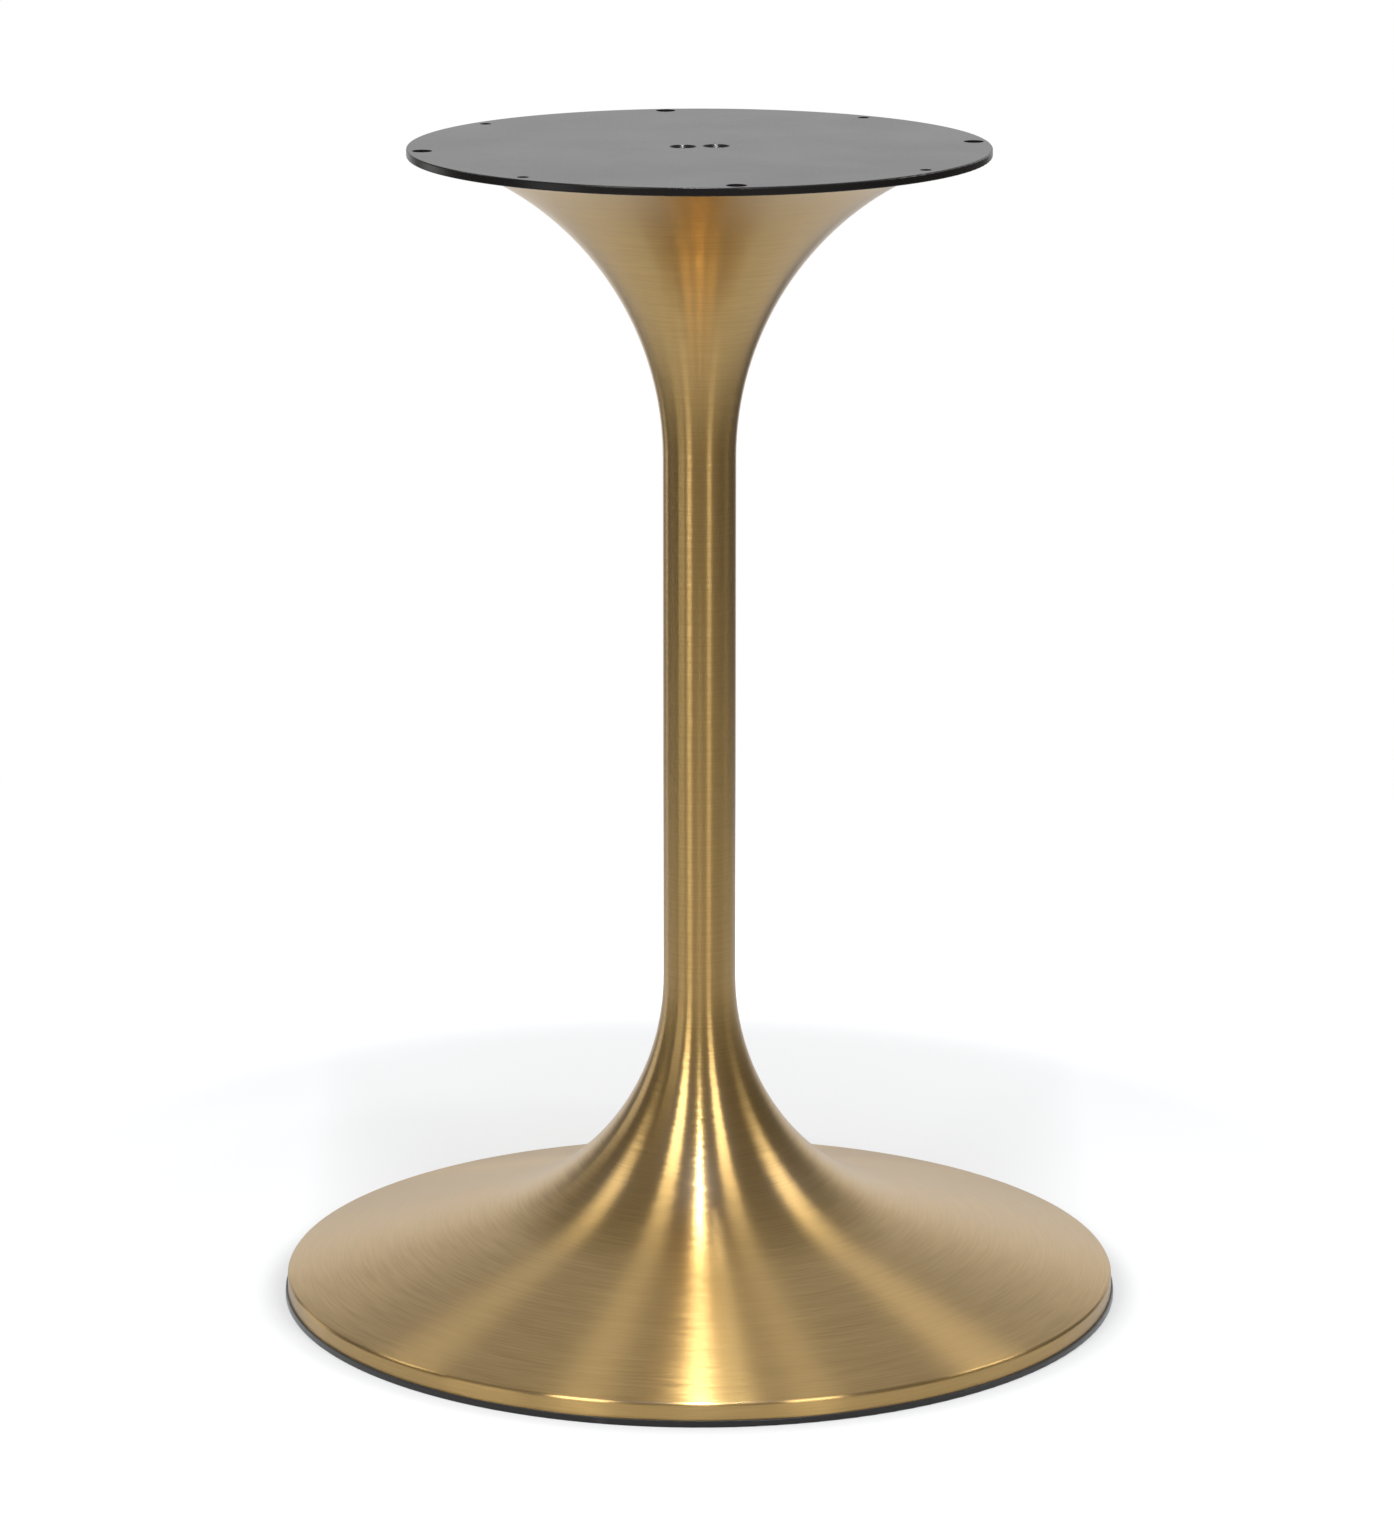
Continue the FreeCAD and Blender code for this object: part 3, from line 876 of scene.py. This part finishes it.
class SCENE_OT_tulip_stage(bpy.types.Operator):
    """Set up the floor, the lamps, the world and the camera"""

    bl_idname = "scene.tulip_stage"
    bl_label = "Studio"

    def execute(self, context):
        studio = context.scene.tulip_studio
        context.scene.view_settings.view_transform = "Standard"
        self.add_camera(context, studio)
        self.add_floor(context, studio)
        self.add_world(context, studio)
        self.add_lamps(context, studio)
        return {"FINISHED"}

    def add_camera(self, context, studio):
        turn = studio.camera_azimuth
        right = Vector((math.cos(turn), math.sin(turn), 0.0))
        back = Vector((math.sin(turn), -math.cos(turn), 0.0))
        place = back * studio.camera_distance - right * CAMERA_LEFT
        place.z = studio.camera_height
        aim = (math.pi / 2 - studio.camera_tilt, 0.0, turn)
        bpy.ops.object.camera_add(location=place, rotation=aim)
        camera = context.object
        camera.name = "camera"
        camera.data.sensor_width = FILM_SIDE
        camera.data.lens = studio.camera_lens
        camera.data.clip_end = CLIP_END
        context.scene.camera = camera

    def add_floor(self, context, studio):
        """A floor that the camera sees white but for the object's shadow and a painted shadow at the
        foot's edge, with a room in its mirror and a painted glow under the foot.
        """
        bpy.ops.mesh.primitive_plane_add(size=FLOOR_SIZE)
        floor = context.object
        floor.name = "floor"
        finish, graph = start_finish("White floor")
        point = graph.place()
        x, y, _ = graph.parts(point)

        def zone(ring, start, end, back=0.0):
            away = (x * x + (y - back) * (y - back)) ** 0.5
            return graph.fade(away, *ring, start, end)

        lit_part = zone(LIT_RING, 1.0, 0.0, LIT_BACK)
        pool = zone(POOL_RING, *POOL_WHITE) * lit_part
        shadow = zone(SHADOW_RING, 1.0, 0.0, SHADOW_BACK) * pool
        # Painted light: a disc under the foot that glows to mirrored and bounced rays, so the foot's
        # underside is lit
        painted_under_glow = zone(PAINTED_GLOW_RING, 1.0, 0.0)
        # Painted shadow: a thin ring just outside the foot that the camera sees darker
        painted_shadow = zone(PAINTED_SHADOW_RING, PAINTED_SHADOW_DEPTH, 0.0)
        camera, mirrored = self.ray_kinds(graph)
        behind = self.facing_back(graph, point, studio.camera_azimuth + FLOOR_TURN)
        dim = graph.fade(behind, *FRONT_SPAN, *FLOOR_DIM) + graph.fade(behind, *SIDE_SPAN) * FLOOR_SIDE
        white = graph.fade(behind, *FLOOR_BACKDROP_SPAN) * FLOOR_BACKDROP
        room = (dim + white) * (1.0 - lit_part) + painted_under_glow * PAINTED_GLOW_MIRRORED
        grey = graph.node("CombineXYZ", None, {0: pool, 1: pool, 2: pool})
        lit = graph.node("BsdfDiffuse", None, {"Color": grey})
        bounced = FLOOR_BOUNCED + painted_under_glow * PAINTED_GLOW_BOUNCED
        seen = camera * (1.0 - shadow - painted_shadow) + mirrored * room + (1.0 - camera - mirrored) * bounced
        colour = self.mirrored_colour(graph, studio, mirrored, behind)
        glow = graph.node("Emission", None, {"Color": colour, "Strength": seen})
        surface = graph.node("AddShader", None, {0: lit, 1: glow})
        below = graph.node("NewGeometry", output="Backfacing")
        hole = graph.node("BsdfTransparent")
        surface = graph.node("MixShader", None, {0: below, 1: surface, 2: hole})
        graph.node("OutputMaterial", None, {"Surface": surface})
        finish.cycles.emission_sampling = "NONE"
        floor.data.materials.append(finish)

    def ray_kinds(self, graph):
        """Whether a ray comes from the camera, and whether a surface mirrored it or let it through."""
        kinds = ("Camera", "Glossy", "Transmission")
        camera, glossy, through = [graph.node("LightPath", output=f"Is {kind} Ray") for kind in kinds]
        return camera, glossy + through

    def mirrored_colour(self, graph, studio, mirrored, behind):
        """White, but the room's colour where a mirrored ray doesn't go to the backdrop."""
        aside = mirrored * graph.fade(behind, *TINT_SPAN, start=1.0, end=0.0)
        return graph.mix(aside, opaque(WHITE), opaque(studio.room_colour))

    def facing_back(self, graph, direction, turn):
        """Cosine of the angle, seen from above, between a direction and straight behind the object."""
        level = graph.vector("NORMALIZE", graph.vector("MULTIPLY", direction, (1.0, 1.0, 0.0)))
        return graph.vector("DOT_PRODUCT", level, (-math.sin(turn), math.cos(turn), 0.0))

    def add_world(self, context, studio):
        """A world that the camera sees white, and that metal mirrors as a dim room with a backdrop."""
        world = bpy.data.worlds.new("Studio")
        context.scene.world = world
        graph = Graph(world)
        direction = graph.node("TexCoord", output="Generated")
        rise = graph.node("SeparateXYZ", None, {0: direction}, "Z")
        behind = self.facing_back(graph, direction, studio.camera_azimuth + WALL_TURN)
        dim = graph.fade(behind, *FRONT_SPAN, *WALL_DIM)
        backdrop = graph.fade(behind, *WALL_BACKDROP_SPAN) * WALL_BACKDROP
        white = backdrop + graph.fade(behind, *WALL_CORE_SPAN) * WALL_CORE
        low = graph.fade(rise, *RISE_SPAN, start=1.0, end=0.0)
        height = BACKDROP_OVERHEAD + (1.0 - BACKDROP_OVERHEAD) * low
        room = CEILING + (dim - CEILING) * low + white * height
        camera, mirrored = self.ray_kinds(graph)
        level = camera + mirrored * room + (1.0 - camera - mirrored) * ROOM_BOUNCED
        colour = self.mirrored_colour(graph, studio, mirrored, behind)
        light = graph.node("Background", None, {"Color": colour, "Strength": level})
        graph.node("OutputWorld", None, {"Surface": light})

    def add_lamps(self, context, studio):
        for name, lamp in LAMPS.items():
            turn = studio.camera_azimuth + math.radians(lamp.azimuth)
            rise = math.radians(lamp.elevation)
            reach = math.cos(rise)
            out = Vector((math.sin(turn) * reach, -math.cos(turn) * reach, math.sin(rise)))
            bpy.ops.object.light_add(type="AREA", location=LAMP_AIM + out * lamp.distance)
            light = context.object
            light.name = name
            facing = Euler((math.pi / 2 - rise, 0.0, turn)).to_quaternion()
            light.rotation_mode = "QUATERNION"
            light.rotation_quaternion = facing @ Quaternion(UP, math.radians(lamp.roll))
            light.data.shape = "RECTANGLE"
            light.data.size = lamp.width
            light.data.size_y = lamp.height
            light.data.energy = lamp.radiance * math.pi * lamp.width * lamp.height * studio.lamp_level
            light.visible_camera = False
            if name.startswith("boom"):
                light.data.color = studio.boom_colour


class VIEW3D_PT_tulip_base(bpy.types.Panel):
    """Lists the parts of the tulip base and their settings"""

    bl_idname = "VIEW3D_PT_tulip_base"
    bl_label = "Tulip Base"
    bl_space_type = "VIEW_3D"
    bl_region_type = "UI"
    bl_category = "Tulip Base"

    def draw(self, context):
        scene = context.scene
        for group in (scene.tulip_sizes, scene.tulip_screws, scene.tulip_colours, scene.tulip_studio):
            box = self.layout.box()
            for name in group.__annotations__:
                box.prop(group, name)
        for operator in OPERATORS:
            self.layout.operator(operator.bl_idname)


GROUPS = (PedestalSizes, ScrewSizes, FinishColours, StudioSettings)
OPERATORS = (
    OBJECT_OT_tulip_pedestal,
    OBJECT_OT_tulip_plate,
    OBJECT_OT_tulip_trim,
    OBJECT_OT_tulip_screws,
    OBJECT_OT_tulip_fixings,
    OBJECT_OT_tulip_core,
    SCENE_OT_tulip_stage,
)
CLASSES = (*GROUPS, *OPERATORS, VIEW3D_PT_tulip_base)


def register():
    for cls in CLASSES:
        bpy.utils.register_class(cls)
    bpy.types.Scene.tulip_sizes = bpy.props.PointerProperty(type=PedestalSizes)
    bpy.types.Scene.tulip_screws = bpy.props.PointerProperty(type=ScrewSizes)
    bpy.types.Scene.tulip_colours = bpy.props.PointerProperty(type=FinishColours)
    bpy.types.Scene.tulip_studio = bpy.props.PointerProperty(type=StudioSettings)


def unregister():
    del bpy.types.Scene.tulip_studio
    del bpy.types.Scene.tulip_colours
    del bpy.types.Scene.tulip_screws
    del bpy.types.Scene.tulip_sizes
    for cls in reversed(CLASSES):
        bpy.utils.unregister_class(cls)


def main():
    register()
    bpy.ops.object.tulip_pedestal()
    bpy.ops.object.tulip_plate()
    bpy.ops.object.tulip_trim()
    bpy.ops.object.tulip_screws()
    bpy.ops.object.tulip_fixings()
    bpy.ops.object.tulip_core()
    bpy.ops.scene.tulip_stage()


if __name__ == "__main__":
    main()
